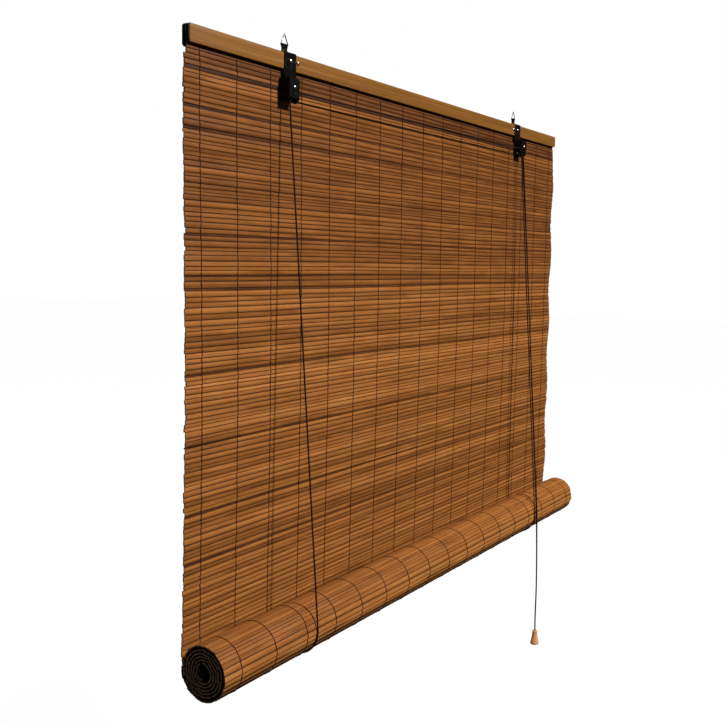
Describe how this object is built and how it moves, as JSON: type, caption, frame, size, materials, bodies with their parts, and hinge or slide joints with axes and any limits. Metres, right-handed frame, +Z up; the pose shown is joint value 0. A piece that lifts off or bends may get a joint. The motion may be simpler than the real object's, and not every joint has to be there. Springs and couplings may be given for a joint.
{
  "type": "roll-up blind",
  "caption": "Hanging roll-up blind of woven wood slats: clamped head rail on ringed strap brackets, pulley and cord-lock housings, lift cords under a loose roll, and a turned pull knob.",
  "frame": {"origin": "hanging point: midway between the two wire rings, inside their crowns, where the wall hooks bear", "axes": "+X along the head rail to the pull cord's side, +Y to the window behind the blind, +Z up"},
  "size_m": [1.22, 0.1051, 1.1445],
  "materials": {
    "rail_wood": "satin varnished golden brown wood, fine straight grain",
    "stained_wood": "matt dark stain",
    "slat_wood": "thin stained slats, satin, woven with dark thread",
    "black_steel": "black, semi-gloss",
    "nickel": "bright nickel plate",
    "black_nylon": "moulded, satin",
    "cord": "braided, dark brown",
    "pale_wood": "turned, clear satin varnish"
  },
  "bodies": {
    "head_rail_assembly": {"front_batten": "rail_wood", "rear_batten": "stained_wood", "left_strap": "black_steel", "right_strap": "black_steel", "left_strap_screw": "nickel", "right_strap_screw": "nickel", "left_rail_screw": "nickel", "right_rail_screw": "nickel", "left_pulley_housing": "black_steel", "right_lock_housing": "black_steel", "left_frame_rivet": "nickel", "right_frame_rivet": "nickel", "left_pulley_axle": "black_steel", "right_pulley_axle": "black_steel", "left_cord_anchor": "black_nylon", "right_cord_anchor": "black_nylon", "left_anchor_screw": "nickel", "right_anchor_screw": "nickel", "left_cord_knot": "cord", "right_cord_knot": "cord", "curtain_hanging": "slat_wood", "left_back_cord": "cord", "right_back_cord": "cord", "left_front_cord": "cord", "right_front_cord": "cord", "header_cord": "cord", "lock_turn_cord": "cord", "left_tail_upper": "cord", "right_tail_upper": "cord"},
    "left_ring_body": {"left_ring": "nickel"},
    "right_ring_body": {"right_ring": "nickel"},
    "left_pulley_body": {"left_pulley": "black_nylon"},
    "right_pulley_body": {"right_pulley": "black_nylon"},
    "lock_roller_body": {"lock_roller": "nickel"},
    "lift": {"left_sling": "cord", "right_sling": "cord", "left_tail_lower": "cord", "right_tail_lower": "cord"},
    "roll": {"curtain_roll": "slat_wood", "bottom_batten": "rail_wood"},
    "pull": {"pull_knob": "pale_wood", "pull_knot": "cord"}
  },
  "joints": [
    {"name": "roll_lift", "type": "slide", "parent": "head_rail_assembly", "child": "lift", "axis": [0, 0, 1], "range_m": [0, 0.7], "deforming": ["curtain_hanging", "left_back_cord", "right_back_cord", "left_front_cord", "right_front_cord", "left_tail_upper", "right_tail_upper"]},
    {"name": "roll_turn", "type": "hinge", "parent": "lift", "child": "roll", "pos_m": [0, -0.0424, -0.8533], "axis": [1, 0, 0], "range_deg": [-1060, 0]},
    {"name": "pull_slide", "type": "slide", "parent": "lift", "child": "pull", "axis": [0, 0, -1], "range_m": [0, 2.1], "deforming": ["left_tail_lower", "right_tail_lower"]},
    {"name": "left_ring_swing", "type": "hinge", "parent": "head_rail_assembly", "child": "left_ring_body", "pos_m": [-0.3948, 0, -0.0145], "axis": [1, 0, 0], "range_deg": [-115, 115]},
    {"name": "right_ring_swing", "type": "hinge", "parent": "head_rail_assembly", "child": "right_ring_body", "pos_m": [0.3885, 0, -0.0145], "axis": [1, 0, 0], "range_deg": [-115, 115]},
    {"name": "left_pulley_turn", "type": "hinge", "parent": "head_rail_assembly", "child": "left_pulley_body", "pos_m": [-0.401, -0.0199, -0.0857], "axis": [0, 1, 0], "range_deg": [-60, 15180]},
    {"name": "right_pulley_turn", "type": "hinge", "parent": "head_rail_assembly", "child": "right_pulley_body", "pos_m": [0.3947, -0.0199, -0.0817], "axis": [0, 1, 0], "range_deg": [-60, 15180]},
    {"name": "lock_roller_turn", "type": "hinge", "parent": "head_rail_assembly", "child": "lock_roller_body", "pos_m": [0.3947, -0.0147, -0.0859], "axis": [1, 0, 0], "continuous": true}
  ],
  "couplings": [
    {"joint": "roll_turn", "follows": "roll_lift", "rad_per_m": -26.3},
    {"joint": "pull_slide", "follows": "roll_lift", "ratio": 3},
    {"joint": "left_pulley_turn", "follows": "roll_lift", "rad_per_m": 377.36},
    {"joint": "right_pulley_turn", "follows": "roll_lift", "rad_per_m": 377.36}
  ]
}
